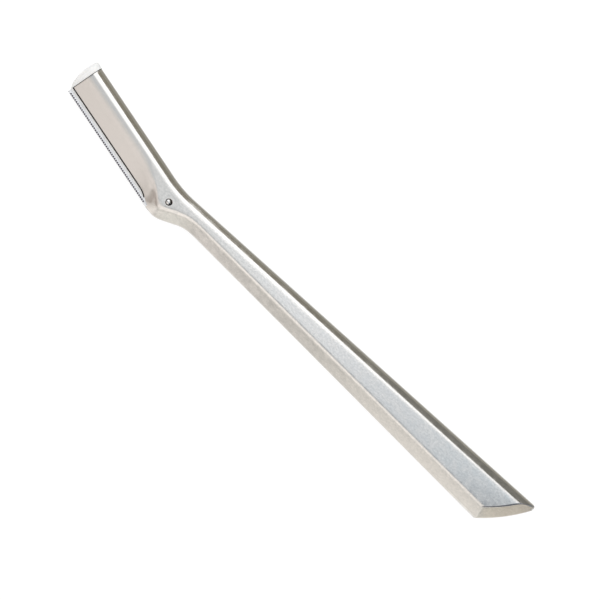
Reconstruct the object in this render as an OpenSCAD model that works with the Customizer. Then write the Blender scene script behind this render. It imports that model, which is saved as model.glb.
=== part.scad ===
// Eyebrow razor: a one-piece metal handle whose head is a flat sleeve, and a refill cartridge
// that slides out of the sleeve's open end. Lengths are in millimetres, angles in degrees.
// Working frame: the retaining pin's axis is the origin, X runs along the handle's back line
// towards the butt, Y towards the back line (the spine) and Z towards the front face.

/* [Handle] */
// Thickness of the casting from facet to facet
body_t = 4.6; // [4:0.1:5.4]
// Distance from the pin's axis to the spine line
spine_y = 4.5; // [4:0.1:5]
// Distance from the pin to the waist, where the handle is narrowest
waist_x = 11.6; // [10:0.2:16]
// Width of the handle at the waist
waist_w = 6.8; // [6.2:0.1:7.6]
// Distance from the pin to the butt corner on the blade side
butt_x = 105.9; // [80:1:130]
// Width of the handle at the butt corner
butt_w = 12.1; // [9:0.1:14]
// Width of the bevel at the waist
waist_bevel_w = 2.75; // [2:0.05:3.2]
// Width of the bevel at the butt
butt_bevel_w = 3.5; // [2.4:0.1:4.5]
// Radius of the blade-side edge
edge_r = 0.38; // [0.2:0.02:0.5]
// Radius along the ridge between facet and bevel
ridge_r = 0.3; // [0.1:0.05:0.6]

/* [Butt] */
// Angle between the oblique end and the handle at the butt corner
butt_angle = 38.8; // [32:0.2:46]
// Radius of the oblique end's outline
butt_r = 41; // [30:1:60]
// Width of the bevel round the oblique end
butt_end_bevel_w = 2.5; // [1.5:0.1:3.5]
// Radius of the pointed corner where the end meets the spine
butt_tip_r = 1; // [0.6:0.1:1.6]

/* [Head] */
// Angle between head and handle
head_angle = 14.2; // [8:0.2:20]
// Radius of the bend along the spine line
bend_r = 32; // [24:1:44]
// Distance from the pin to the sleeve's open end
head_l = 36; // [30:0.5:42]
// Width of the head from the spine line to the guard's outside
head_w = 9.95; // [9.4:0.05:10.8]
// Width of the head's full thickness, from the spine line to the crest of its sloping plate
crest_w = 3.6; // [3.3:0.05:4.2]
// Radius between the plate and the top of the spine
plate_r = 6; // [2:0.2:7]

/* [Sleeve] */
// Clear thickness of the slot
slot_t = 1.2; // [1:0.05:1.4]
// Distance from the pin to the slot's wall on the spine side
slot_y = 2.25; // [2:0.05:2.5]
// Distance from the pin to where the slot opens on the blade side
slot_open_x = 2.4; // [2.3:0.05:3]
// Distance of the window's lips behind the guard's outside
lip_inset = 1.65; // [1.5:0.05:1.85]
// Radius of the window's end at the neck
window_r = 6.4; // [5:0.1:8]
// Distance from the pin to where the lips start to curve
window_x = 6.3; // [5.8:0.1:7]

/* [Retaining pin] */
// Radius of the pin and of its bore
pin_r = 0.75; // [0.6:0.05:0.9]
// Depth of the pin's ends below the facets
pin_sink = 0.25; // [0.15:0.05:0.4]
// Height of the polished dome on each end
pin_dome_h = 0.12; // [0.05:0.01:0.14]
// Width of the countersink's rim at the facet
rim_w = 0.15; // [0.05:0.01:0.4]

/* [Cartridge] */
// Clearance of the cartridge on each side in the slot
run_gap = 0.05; // [0.02:0.01:0.1]
// Length of the end cap beyond the sleeve
cap_l = 2.05; // [1.4:0.05:3]
// How far the cap stands proud of the spine and the lips
cap_proud = 0.1; // [0:0.02:0.2]
// Radius along the cap's outer edges
cap_edge_r = 1.1; // [0.6:0.1:1.6]
// Distance from the slot's end on the blade side to the cartridge's strip
strip_gap = 0.35; // [0.2:0.05:1]
// Distance of the plastic's edge behind the guard's outside
plastic_inset = 1.05; // [0.95:0.02:1.25]
// Clearance between the pieces that are clamped together
film_gap = 0.01; // [0.005:0.005:0.03]
// Diameter of each stake that holds the clamp
stake_d = 0.9; // [0.6:0.05:1.1]
// Number of stakes
stakes = 3; // [2:1:5]

/* [Blade and guard] */
// Thickness of the blade
blade_t = 0.2; // [0.12:0.02:0.26]
// Width of the blade from its back to the cutting edge
blade_w = 3.52; // [3:0.02:4]
// Distance of the cutting edge behind the guard's outside
blade_inset = 0.18; // [0.14:0.01:0.3]
// Width of the ground edge
grind_w = 0.4; // [0.3:0.05:0.6]
// Thickness of the guard's foil
foil_t = 0.1; // [0.06:0.01:0.12]
// Width of the guard from its outside to the ends of its legs
guard_w = 1.7; // [1.3:0.05:2]
// Radius of the guard's two corners
guard_corner_r = 0.9; // [0.3:0.1:1.2]
// Distance between the guard's slots
guard_pitch = 0.6; // [0.5:0.05:1]
// Width of each slot
guard_slot_w = 0.3; // [0.2:0.02:0.36]
// Length of each slot from the outside of the guard
guard_slot_l = 0.55; // [0.4:0.05:0.8]

/* [Hidden] */
steel = [0.78, 0.77, 0.74];
bright_steel = [0.66, 0.66, 0.66];
white = [0.95, 0.95, 0.94];

// Cuts run on past a face by this much
over = 1;
// Half of the distance over which a slope is measured
probe = 0.1;
// Facets of the round holes, stakes and corners
$fn = 48;

// The bulge: its widest place lies this share of the head's width before the bend's start,
// and the skew share draws the outline's swing towards the bulge
bulge_share = 0.46;
skew_share = 1.8;
// The plate spreads from the bulge's bevel over these shares of the head's width
plate_start_share = 0.35;
plate_run_share = 0.9;

half_t = body_t / 2;
guard_y = head_w - spine_y;
lip_y = guard_y - lip_inset;
rim_r = pin_r + rim_w;
bend_x = (spine_y + bend_r) * tan(head_angle / 2);
bend_l = bend_r * head_angle * PI / 180;
waist_s = waist_x - bend_x;
butt_s = butt_x - bend_x;
bulge_s = -head_w * bulge_share;
plate_start = head_w * plate_start_share;
plate_run = head_w * plate_run_share;
mouth_s = -bend_l - (head_l - bend_x);

function smooth(u) = let(c = max(0, min(1, u))) c * c * (3 - 2 * c);
function mix(a, b, f) = a + (b - a) * f;

// The spine line, by the distance s from the bend's start: straight along the handle (s above
// zero), an arc, then straight along the head
function turned(s) = max(0, min(head_angle, -s / bend_r * 180 / PI));
function spine_at(s) =
    let(q = turned(s), past = max(0, -s - bend_l))
    [bend_x + max(0, s) - bend_r * sin(q) - past * cos(q),
     spine_y + bend_r * (1 - cos(q)) + past * sin(q)];

// Sizes of the section at s
function handle_share(s) = (s - waist_s) / (butt_s - waist_s);
function swing(s) = smooth(pow(max(0, (waist_s - s) / (waist_s - bulge_s)), skew_share));
function width(s) = mix(mix(waist_w, butt_w, handle_share(s)), head_w, swing(s));
function slant(s) = norm([1, (width(s + probe) - width(s - probe)) / (2 * probe)]);
function plate(s) = smooth((-s - plate_start) / plate_run);
function bevel(s) =
    mix(mix(waist_bevel_w, butt_bevel_w, handle_share(s)) * slant(s), head_w - crest_w, plate(s));
function ridge_round(s) = mix(ridge_r, plate_r, plate(s));

// Front half of the section from the spine to the blade-side edge, as [distance, height]:
// a round spine, the flat facet, the rounded ridge, the bevel and the round edge
spine_steps = 10;
facet_steps = 8;
ridge_steps = 4;
bevel_steps = 4;
edge_steps = 5;
function half_section(s) =
    let(
        w = width(s),
        ridge = w - bevel(s),
        reach = w - edge_r - ridge,
        tilt = atan2(half_t, reach) - asin(edge_r / norm([reach, half_t])),
        q = ridge_round(s),
        ridge_c = [ridge - q * tan(tilt / 2), half_t - q],
        edge_c = [w - edge_r, 0],
        normal = [sin(tilt), cos(tilt)]
    )
    concat(
        [for (i = [0 : spine_steps])
            half_t * [1 - cos(90 * i / spine_steps), sin(90 * i / spine_steps)]],
        [for (i = [1 : facet_steps - 1])
            [mix(half_t, ridge_c[0], i / facet_steps), half_t]],
        [for (i = [0 : ridge_steps])
            ridge_c + q * [sin(tilt * i / ridge_steps), cos(tilt * i / ridge_steps)]],
        [for (i = [1 : bevel_steps - 1])
            mix(ridge_c + q * normal, edge_c + edge_r * normal, i / bevel_steps)],
        [for (i = [0 : edge_steps])
            let(a = mix(tilt, 90, i / edge_steps))
            edge_c + edge_r * [sin(a), cos(a)]]
    );

// Whole section: the front half, then the back half mirrored, without its two ends
half_n = spine_steps + facet_steps + ridge_steps + bevel_steps + edge_steps + 1;
ring_n = 2 * half_n - 2;
function section(s) =
    let(h = half_section(s))
    concat(h, [for (i = [half_n - 2 : -1 : 1]) [h[i][0], -h[i][1]]]);

// Section square to the spine line at s
function ring(s) =
    let(q = turned(s), o = spine_at(s))
    [for (p = section(s)) [o[0] - p[0] * sin(q), o[1] - p[0] * cos(q), p[1]]];

// The oblique end: an arc from the butt corner and a small round at the tip
end_c = [butt_x - butt_r * sin(butt_angle), spine_y - butt_w + butt_r * cos(butt_angle)];
tip_c = [end_c[0] + sqrt(pow(butt_r - butt_tip_r, 2)
                         - pow(spine_y - butt_tip_r - end_c[1], 2)), spine_y - butt_tip_r];
tip_join_y = end_c[1] + (tip_c[1] - end_c[1]) * butt_r / (butt_r - butt_tip_r);
function end_x(y, inset) = end_c[0] + sqrt(pow(butt_r - inset, 2) - pow(y - end_c[1], 2));
function outline_x(y) =
    y > tip_join_y ? tip_c[0] + sqrt(max(0, pow(butt_tip_r, 2) - pow(y - tip_c[1], 2)))
                   : end_x(y, 0);
function end_inset(z) =
    butt_end_bevel_w * max(0, abs(z) - edge_r) / (half_t - edge_r);
end_ring = [for (p = section(butt_s))
    let(y = spine_y - p[0]) [min(end_x(y, end_inset(p[1])), outline_x(y)), y, p[1]]];
rim_ring = [for (p = section(butt_s))
    let(y = spine_y - p[0]) [outline_x(y), y, max(-edge_r, min(edge_r, p[1]))]];

// Stations along the casting, close together where it bends and swells
neck_steps = 26;
neck_s = -plate_start - plate_run;
last_s = butt_s - butt_w;
rings = concat(
    [ring(mouth_s)],
    [for (i = [0 : neck_steps]) ring(mix(neck_s, waist_s, i / neck_steps))],
    [ring(last_s), end_ring, rim_ring]
);

// Skin over the rings, closed at each end by strips between the front and back halves
function skin(n) = [for (r = [0 : n - 2]) for (i = [0 : ring_n - 1])
    let(a = r * ring_n + i, b = r * ring_n + (i + 1) % ring_n)
    each [[a, b, b + ring_n], [a, b + ring_n, a + ring_n]]];
function lid(first, flip) = [for (i = [0 : half_n - 2])
    let(
        a = first + i,
        b = first + i + 1,
        c = first + (ring_n - i - 1) % ring_n,
        d = first + (ring_n - i) % ring_n,
        strip = i == 0 ? [[a, b, c]] : i == half_n - 2 ? [[a, b, d]] : [[a, b, c], [a, c, d]]
    )
    each (flip ? [for (t = strip) [t[2], t[1], t[0]]] : strip)];

module casting_blank() {
    n = len(rings);
    polyhedron(
        points = [for (r = rings) each r],
        faces = concat(skin(n), lid(0, true), lid((n - 1) * ring_n, false))
    );
}

// Part placed in the head's frame: minus X runs from the pin to the sleeve's mouth
module in_head() {
    rotate([0, 0, -head_angle]) children();
}

// Plate of a plan shape about the middle plane
module plate_of(t) {
    translate([0, 0, -t / 2]) linear_extrude(t) children();
}

// Rectangle between two corners
module box2(x0, y0, x1, y1) {
    translate([x0, y0]) square([x1 - x0, y1 - y0]);
}

// Slot for the cartridge: open at the mouth and along the blade, with a round pocket at the pin
module slot_plan() {
    box2(-head_l - over, -head_w, -slot_open_x, slot_y);
    box2(-slot_open_x - over, -slot_y, 0, slot_y);
    circle(r = slot_y);
}

// Window that sets the lips back from the edge
module window_plan() {
    box2(-head_l - over, -head_w, -window_x, -lip_y);
    translate([-window_x, -lip_y - window_r]) circle(r = window_r, $fn = 96);
}

module pin_bore() {
    rise = rim_r - pin_r;
    cylinder(r = pin_r, h = body_t + 2 * over, center = true);
    for (side = [0, 180])
        rotate([side, 0, 0])
            translate([0, 0, half_t - rise])
                cylinder(r1 = pin_r, r2 = rim_r + over, h = rise + over);
}

module handle_casting() {
    color(steel)
        placed() difference() {
            casting_blank();
            in_head() {
                plate_of(slot_t) slot_plan();
                plate_of(body_t + 2 * over) window_plan();
            }
            pin_bore();
        }
}

// Dowel across the neck with a low dome on each end
module retaining_pin() {
    flat_h = half_t - pin_sink;
    dome_r = (pow(pin_r, 2) + pow(pin_dome_h, 2)) / (2 * pin_dome_h);
    color(bright_steel)
        placed() intersection() {
            cylinder(r = pin_r, h = 2 * (flat_h + pin_dome_h), center = true);
            translate([0, 0, flat_h + pin_dome_h - dome_r]) sphere(r = dome_r, $fn = 96);
            translate([0, 0, dome_r - flat_h - pin_dome_h]) sphere(r = dome_r, $fn = 96);
        }
}

// Cartridge sizes
cart_t = slot_t - 2 * run_gap;
cart_y = slot_y - run_gap;
cap_x = head_l + run_gap;
strip_x = slot_open_x + strip_gap;
plastic_y = guard_y - plastic_inset;
blade_y = guard_y - blade_inset;
shoulder_y = blade_y - blade_w - run_gap;
fork_r = slot_y - 3 * run_gap;
fork_hole_r = pin_r + run_gap;
strip_l = cap_x - strip_x;
blade_half = blade_t / 2;
seat_z = blade_half + film_gap;
leg_z = seat_z + foil_t;
leg_y = guard_y - guard_w;
bend_y = guard_y - leg_z;
head_r_share = 0.7;
head_t_share = 0.14;
tongue_share = 0.25;
stake_y = (shoulder_y + leg_y) / 2;
stake_x = [for (i = [0 : stakes - 1]) -strip_x - strip_l * (i + 0.5) / stakes];
stake_hole_r = stake_d / 2 + run_gap;
stake_head_r = stake_d * head_r_share;
stake_head_t = cart_t * head_t_share;

module each_stake() {
    for (x = stake_x) translate([x, -stake_y, 0]) children();
}

// End cap in plan: a crowned end with a rounded corner at the spine
crown_share = 0.72;
cap_half_share = 0.76;
cap_corner_share = 0.3;
cap_steps = 20;
corner_steps = 6;
cap_top = spine_y + cap_proud;
cap_low = -lip_y - cap_proud;
crown_y = mix(cap_low, cap_top, crown_share);
cap_half = (cap_top - cap_low) * cap_half_share;
cap_depth = cap_l / (1 - sqrt(1 - pow((crown_y - cap_low) / cap_half, 2)));
function cap_end(y) = cap_x + cap_l - cap_depth * (1 - sqrt(1 - pow((y - crown_y) / cap_half, 2)));
cap_corner_r = cap_l * cap_corner_share;
corner_c = [cap_end(cap_top - cap_corner_r) - cap_corner_r, cap_top - cap_corner_r];
cap_outline = concat(
    [[-cap_x, cap_low], [-cap_x, cap_top]],
    [for (i = [0 : corner_steps])
        let(a = 90 * i / corner_steps)
        [-corner_c[0] - cap_corner_r * sin(a), corner_c[1] + cap_corner_r * cos(a)]],
    [for (i = [1 : cap_steps - 1])
        let(y = mix(corner_c[1], cap_low, i / cap_steps)) [-cap_end(y), y]]
);

// Solid between the plan shape given and a section drawn across the head
module head_bar(x, length) {
    translate([x, 0, 0]) rotate([90, 0, 90]) linear_extrude(length) children();
}

module end_cap() {
    cap_t = body_t - 2 * run_gap;
    edge_x = -cap_x - cap_l + cap_edge_r;
    intersection() {
        plate_of(cap_t) polygon(cap_outline);
        head_bar(-cap_x - cap_l, cap_l)
            polygon([for (p = section(mouth_s)) [cap_top - p[0], p[1] * cap_t / body_t]]);
        translate([0, cap_top + over, 0])
            rotate([90, 0, 0])
                linear_extrude(cap_top - cap_low + 2 * over) {
                    box2(edge_x, -cap_t / 2, 0, cap_t / 2);
                    box2(edge_x - cap_edge_r, cap_edge_r - cap_t / 2, 0, cap_t / 2 - cap_edge_r);
                    for (side = [-1, 1])
                        translate([edge_x, side * (cap_t / 2 - cap_edge_r)])
                            circle(r = cap_edge_r);
                }
    }
}

// Room for the guard's legs in the plastic on one side of the blade
module leg_rebate() {
    translate([-cap_x - over, -guard_y, blade_half])
        cube([strip_l + 2 * over, guard_w + run_gap, leg_z + film_gap - blade_half]);
}

// White moulding: end cap, back of the blade's seat, stakes and the fork that holds the pin
module cartridge_carrier() {
    color(white)
        placed() in_head() {
            end_cap();
            plate_of(cart_t)
                difference() {
                    union() {
                        box2(-cap_x - cap_l * tongue_share, -shoulder_y, -strip_x, cart_y);
                        box2(-strip_x, -fork_r, 0, fork_r);
                        circle(r = fork_r);
                    }
                    circle(r = fork_hole_r);
                    box2(0, -fork_hole_r, fork_r, fork_hole_r);
                }
            difference() {
                translate([-cap_x, -plastic_y, -cart_t / 2])
                    cube([strip_l, plastic_y - shoulder_y, cart_t / 2 - seat_z]);
                mirror([0, 0, 1]) leg_rebate();
            }
            each_stake() {
                translate([0, 0, -cart_t / 2]) cylinder(d = stake_d, h = cart_t);
                translate([0, 0, cart_t / 2 - stake_head_t])
                    cylinder(r = stake_head_r, h = stake_head_t);
            }
        }
}

// White strip staked down over the blade
module blade_clamp() {
    color(white)
        placed() in_head()
            difference() {
                translate([-cap_x + run_gap, -plastic_y, seat_z])
                    cube([
                        strip_l - 2 * run_gap,
                        plastic_y - shoulder_y - run_gap,
                        cart_t / 2 - seat_z
                    ]);
                leg_rebate();
                each_stake() {
                    cylinder(r = stake_hole_r, h = cart_t);
                    translate([0, 0, cart_t / 2 - stake_head_t - film_gap])
                        cylinder(r = stake_head_r + run_gap, h = cart_t);
                }
            }
}

// Steel strip with an edge ground from both sides
module blade() {
    color(steel)
        placed() in_head()
            difference() {
                head_bar(-cap_x + 2 * run_gap, strip_l - 4 * run_gap)
                    polygon([
                        [-shoulder_y - run_gap, -blade_half],
                        [-shoulder_y - run_gap, blade_half],
                        [grind_w - blade_y, blade_half],
                        [-blade_y, 0],
                        [grind_w - blade_y, -blade_half]
                    ]);
                each_stake() cylinder(r = stake_hole_r, h = cart_t, center = true);
            }
}

// Thin foil folded over the edge, with a slot at every tooth
guard_l = strip_l - 2 * run_gap;
guard_slots = floor((guard_l - guard_corner_r) / guard_pitch);

module guard_plan() {
    tip = -cap_x + run_gap;
    box2(tip, -guard_y + guard_corner_r, tip + guard_l, -leg_y);
    box2(tip + guard_corner_r, -guard_y, tip + guard_l - guard_corner_r, -leg_y);
    for (x = [tip + guard_corner_r, tip + guard_l - guard_corner_r])
        translate([x, -guard_y + guard_corner_r]) circle(r = guard_corner_r);
}

module guard_comb() {
    first = -cap_x + run_gap + (guard_l - (guard_slots - 1) * guard_pitch) / 2;
    color(bright_steel)
        placed() in_head()
            difference() {
                intersection() {
                    head_bar(-cap_x, strip_l)
                        difference() {
                            union() {
                                box2(-bend_y, -leg_z, -leg_y, leg_z);
                                translate([-bend_y, 0]) circle(r = leg_z);
                            }
                            box2(-bend_y, -seat_z, 0, seat_z);
                            translate([-bend_y, 0]) circle(r = seat_z);
                        }
                    plate_of(body_t) guard_plan();
                }
                for (i = [0 : guard_slots - 1])
                    translate([first + i * guard_pitch - guard_slot_w / 2, -guard_y - over, -over])
                        cube([guard_slot_w, guard_slot_l + over, 2 * over]);
            }
}

// Moves a piece from the working frame to the part's frame: the origin is below the middle of
// the whole razor, on the back facet's plane
function in_world(p) = [
    p[0] * cos(head_angle) + p[1] * sin(head_angle),
    p[1] * cos(head_angle) - p[0] * sin(head_angle)
];
cap_world = [for (p = cap_outline) in_world(p)];
x_low = min([for (p = cap_world) p[0]]);
x_high = tip_c[0] + butt_tip_r;
y_low = min([for (r = rings) for (p = r) p[1]]);
y_high = max([for (p = cap_world) p[1]]);
origin_shift = [-(x_low + x_high) / 2, -(y_low + y_high) / 2, half_t];

module placed() {
    translate(origin_shift) children();
}

handle_casting();
retaining_pin();
cartridge_carrier();
blade_clamp();
blade();
guard_comb();
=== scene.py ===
from math import asin, atan, atan2, copysign, cos, degrees, hypot, pi, radians, sin, sqrt, tan

import bmesh
import bpy
from mathutils import Matrix, Vector


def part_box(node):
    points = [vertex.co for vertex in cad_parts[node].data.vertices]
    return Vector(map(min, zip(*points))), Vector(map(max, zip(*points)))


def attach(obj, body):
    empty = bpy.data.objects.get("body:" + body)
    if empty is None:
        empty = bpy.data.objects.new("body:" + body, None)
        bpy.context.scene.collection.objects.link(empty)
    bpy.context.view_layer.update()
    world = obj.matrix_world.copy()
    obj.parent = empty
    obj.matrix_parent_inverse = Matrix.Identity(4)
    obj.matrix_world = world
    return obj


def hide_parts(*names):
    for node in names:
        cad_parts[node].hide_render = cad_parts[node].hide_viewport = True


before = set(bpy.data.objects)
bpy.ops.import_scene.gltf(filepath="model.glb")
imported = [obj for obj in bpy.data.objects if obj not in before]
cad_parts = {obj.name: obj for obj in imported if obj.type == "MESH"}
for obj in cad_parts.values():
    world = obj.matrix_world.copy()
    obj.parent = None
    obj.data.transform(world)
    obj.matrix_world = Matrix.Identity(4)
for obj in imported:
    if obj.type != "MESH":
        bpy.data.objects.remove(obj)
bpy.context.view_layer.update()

# Lengths are in millimetres up to add_mesh, which turns them into metres. The working frame is
# the part's own, moved so that the retaining pin's middle is its origin: X runs towards the
# butt, Y towards the spine and Z towards the front face.
MM = 0.001
pin_low, pin_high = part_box("retaining_pin")
PIN_PLACE = (pin_low + pin_high) / 2

# Handle
BODY_T = 4.6
SPINE_Y = 4.5
SPINE_W = 2.6
WAIST_X = 11.6
WAIST_W = 6.8
BUTT_X = 105.9
BUTT_W = 12.1
WAIST_BEVEL_W = 2.75
BUTT_BEVEL_W = 3.5
EDGE_R = 0.38
RIDGE_L = 1.4
RIDGE_POWER = 3
RIDGE_SHIFT = 0.1
RIDGE_BULGE_L = 2.7
RIDGE_BULGE_S = (5.0, -3.5)
ROLL_BEFORE = RIDGE_POWER / (RIDGE_POWER + 1)
HALF_T = BODY_T / 2

# Butt
BUTT_ANGLE = radians(38.8)
BUTT_R = 41.0
END_BEVEL_W = 2.5
END_BEVEL_LOW_W = 2.95
TIP_R = 1.0
END_RIDGE_W = 0.38
END_RIM_W = 0.22

# Head
HEAD_ANGLE = radians(14.2)
BEND_R = 32.0
HEAD_L = 36.0
HEAD_W = 9.95
CREST_W = 3.6
CREST_L = 1.86
CREST_OUT = 1.5
CREST_FROM_X = -13.0
CREST_TO_X = -5.0
BULGE_SHARE = 0.46
SKEW_SHARE = 1.8
GUARD_Y = HEAD_W - SPINE_Y
# Where the section's lines come to follow the plate's crest, and its edge the plate's tilt
CREST_LINES_S = -4.0
CREST_LINES_L = 6.0
PLATE_TILT_X = -2.2
PLATE_TILT_L = 3.5

# Step at the plate's end, which rises towards the pin
STEP_X = -7.3
STEP_SKEW = 1.1
STEP_LAST_X = -4.3
STEP_LAST_SOFT = 1.2
STEP_SLOPE = 0.64
STEP_FOOT_L = 3.6
STEP_SOFT = 0.48
STEP_SOFT_PIN = 0.72
STEP_SOFT_X = (-7.5, -4.0)

# Sleeve
SLOT_T = 1.2
SLOT_Y = 2.25
SLOT_OPEN_X = 2.4
LIP_Y = GUARD_Y - 1.79
LIP_R = 0.12
LIP_ROUND_CUT = 0.4
# The ledge under the lip is a sheet that carries the painted shadow line along the lip
LEDGE_W = 0.28
LEDGE_Z = SLOT_T / 2 + 0.08
LEDGE_DROP = 0.04
WINDOW_R = 6.4
WINDOW_X = 7.0
MOUTH_R = 0.11

# Lines along the section, from the spine to the blade side, and steps of its ends
SPINE_STEPS = 18
FACET_STEPS = 9
RIDGE_STEPS = 14
BEVEL_STEPS = 13
EDGE_STEPS = 12
LIP_STEPS = 5
LEDGE_AT = EDGE_STEPS - LIP_STEPS
MOUTH_STEPS = 4
END_ROLL_STEPS = 5
END_BEVEL_STEPS = 6

# Distances over which slopes are taken
WIDTH_PROBE = 0.1
LIP_PROBE = 0.05

BEND_X = (SPINE_Y + BEND_R) * tan(HEAD_ANGLE / 2)
BEND_L = BEND_R * HEAD_ANGLE
WAIST_S = WAIST_X - BEND_X
BUTT_S = BUTT_X - BEND_X
BULGE_S = -HEAD_W * BULGE_SHARE
MOUTH_S = -BEND_L - (HEAD_L - BEND_X)
LAST_S = BUTT_S - BUTT_W
MOUTH_LEAD = 0.5
WINDOW_END_S = -6.8
# Sections along the spine line, as start, end and number: closest where the window ends and
# where the bulge turns
SECTION_SPANS = [(MOUTH_S + MOUTH_LEAD, -14, 12), (-14, -9.9, 14), (-9.9, WINDOW_END_S, 20),
                 (WINDOW_END_S, -5.6, 12), (-5.6, -2.5, 14), (-2.5, WAIST_S, 28),
                 (WAIST_S, LAST_S, 30)]


def mix(a, b, share):
    return a + (b - a) * share


def clamp(value, low=0.0, high=1.0):
    return max(low, min(high, value))


def smooth(value):
    c = clamp(value)
    return c * c * (3 - 2 * c)


def arc(centre, radius, start, end, steps):
    """Points on an arc, its angles in degrees from +X."""
    turns = [radians(mix(start, end, i / steps)) for i in range(steps + 1)]
    return [(centre[0] + radius * cos(t), centre[1] + radius * sin(t)) for t in turns]


def bend(a, b, c, steps):
    """Points on the curve from a to c that b pulls to itself."""
    shares = [i / steps for i in range(steps + 1)]
    return [a.lerp(b, share).lerp(b.lerp(c, share), share) for share in shares]


# Objects from points
SHARP_ANGLE = radians(32.0)
ROUNDED_ANGLE = radians(40.0)
ROUND_STEPS = 96
# Points that lie as near as this are one, and edges as short as this go, in metres
JOIN_DIST = 0.4e-6
SHORT_EDGE = 0.2e-6


def add_object(name, data):
    piece = bpy.data.objects.new(name, data)
    bpy.context.scene.collection.objects.link(piece)
    return piece


def add_mesh(name, points, faces, turn=0.0, shadow_faces=()):
    """Object from points in the working frame, turned about the pin's axis.

    The faces listed in the last argument take the object's second material; on the casting that is
    a near-black painted shadow.
    """
    place = Matrix.Translation(PIN_PLACE) @ Matrix.Rotation(turn, 4, "Z") @ Matrix.Scale(MM, 4)
    mesh = bpy.data.meshes.new(name)
    mesh.from_pydata([place @ Vector(p) for p in points], [], faces)
    for i in shadow_faces:
        mesh.polygons[i].material_index = 1
    piece = add_object(name, mesh)
    close_up(mesh)
    shade(mesh)
    return piece


def close_up(mesh):
    """Joins the points that lie together and turns all faces outwards."""
    grid = bmesh.new()
    grid.from_mesh(mesh)
    bmesh.ops.remove_doubles(grid, verts=grid.verts, dist=JOIN_DIST)
    bmesh.ops.dissolve_degenerate(grid, edges=grid.edges, dist=SHORT_EDGE)
    bmesh.ops.recalc_face_normals(grid, faces=grid.faces)
    grid.to_mesh(mesh)
    grid.free()


def shade(mesh):
    mesh.shade_smooth()
    mesh.set_sharp_from_angle(angle=SHARP_ANGLE)


def settle(piece):
    """Makes the modifier's result the piece's own mesh."""
    depsgraph = bpy.context.evaluated_depsgraph_get()
    made = bpy.data.meshes.new_from_object(piece.evaluated_get(depsgraph))
    piece.modifiers.clear()
    piece.data = made
    shade(made)


def carve(piece, cutter, operation="DIFFERENCE"):
    """Cuts the cutter out of the piece, or does the other operation, and deletes the cutter."""
    cut = piece.modifiers.new("cut", "BOOLEAN")
    cut.operation = operation
    cut.solver = "EXACT"
    cut.object = cutter
    settle(piece)
    bpy.data.objects.remove(cutter)


def round_edges(piece, reach, segments=3):
    """Rounds the piece's sharp edges."""
    rounding = piece.modifiers.new("round", "BEVEL")
    rounding.width = reach * MM
    rounding.segments = segments
    rounding.limit_method = "ANGLE"
    rounding.angle_limit = ROUNDED_ANGLE
    settle(piece)


def grid_faces(rows, columns):
    """Quads over closed rows of points, row after row."""
    faces = []
    for r in range(rows - 1):
        for c in range(columns):
            a, b = r * columns + c, r * columns + (c + 1) % columns
            faces.append((a, b, b + columns, a + columns))
    return faces


def end_and_side_faces(n):
    """Faces of a solid from its two ends of n points each."""
    return [tuple(range(n - 1, -1, -1)), tuple(range(n, 2 * n))] + grid_faces(2, n)


def prism(name, outline, low, high):
    """Outline in the head's plan, drawn out between two heights."""
    points = [(x, y, low) for x, y in outline] + [(x, y, high) for x, y in outline]
    return add_mesh(name, points, end_and_side_faces(len(outline)), -HEAD_ANGLE)


def bar(name, section, start, end):
    """Section of (y, z) drawn out along the head."""
    points = [(start, y, z) for y, z in section] + [(end, y, z) for y, z in section]
    return add_mesh(name, points, end_and_side_faces(len(section)), -HEAD_ANGLE)


def lathe(name, profile, centre=(0.0, 0.0), turn=0.0, steps=ROUND_STEPS):
    """Profile of (radius, height) turned about a vertical line; its two ends are on the line."""
    turns = [2 * pi * i / steps for i in range(steps)]
    points = [(centre[0] + radius * cos(a), centre[1] + radius * sin(a), z)
              for radius, z in profile for a in turns]
    return add_mesh(name, points, grid_faces(len(profile), steps), turn)


# The casting's section

def spine_at(s):
    """Point of the spine line at distance s from the bend's start, and how far it has turned."""
    turned = clamp(-s / BEND_R, 0, HEAD_ANGLE)
    past = max(0, -s - BEND_L)
    x = BEND_X + max(0, s) - BEND_R * sin(turned) - past * cos(turned)
    y = SPINE_Y + BEND_R * (1 - cos(turned)) + past * sin(turned)
    return x, y, turned


def handle_share(s):
    return (s - WAIST_S) / (BUTT_S - WAIST_S)


def width(s):
    swing = smooth(max(0, (WAIST_S - s) / (WAIST_S - BULGE_S)) ** SKEW_SHARE)
    return mix(mix(WAIST_W, BUTT_W, handle_share(s)), HEAD_W, swing)


def bevel(s):
    """Width of the bevel, square to the spine line."""
    slope = (width(s + WIDTH_PROBE) - width(s - WIDTH_PROBE)) / (2 * WIDTH_PROBE)
    return mix(WAIST_BEVEL_W, BUTT_BEVEL_W, handle_share(s)) * hypot(1, slope)


def ridge_at(s):
    """Distance from the spine line to the ridge where the facet rolls off."""
    return width(s) - bevel(s) + RIDGE_SHIFT


def in_head(x, y):
    """Point of the working frame in the head's frame."""
    c, s = cos(HEAD_ANGLE), sin(HEAD_ANGLE)
    return x * c - y * s, x * s + y * c


def lip(s, inset=0.0):
    """Distance from the spine line to the window's edge, or None past the window's end."""
    x, y, turned = spine_at(s)
    hx, hy = in_head(x, y)
    lean = HEAD_ANGLE - turned
    across = (sin(lean), -cos(lean))
    reach = (hy + LIP_Y + inset) / cos(lean)
    if hx + reach * across[0] < -WINDOW_X:
        return reach
    ox, oy = hx + WINDOW_X, hy + LIP_Y + WINDOW_R
    way = ox * across[0] + oy * across[1]
    inside = way * way - (ox * ox + oy * oy - (WINDOW_R - inset) ** 2)
    return -way - sqrt(inside) if inside > 0 else None


def face_tilt(w, ridge):
    """Slope angle of a flat face from its upper edge down to the round edge at width w."""
    reach = w - EDGE_R - ridge
    return atan2(HALF_T, reach) - asin(EDGE_R / hypot(reach, HALF_T))


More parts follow.
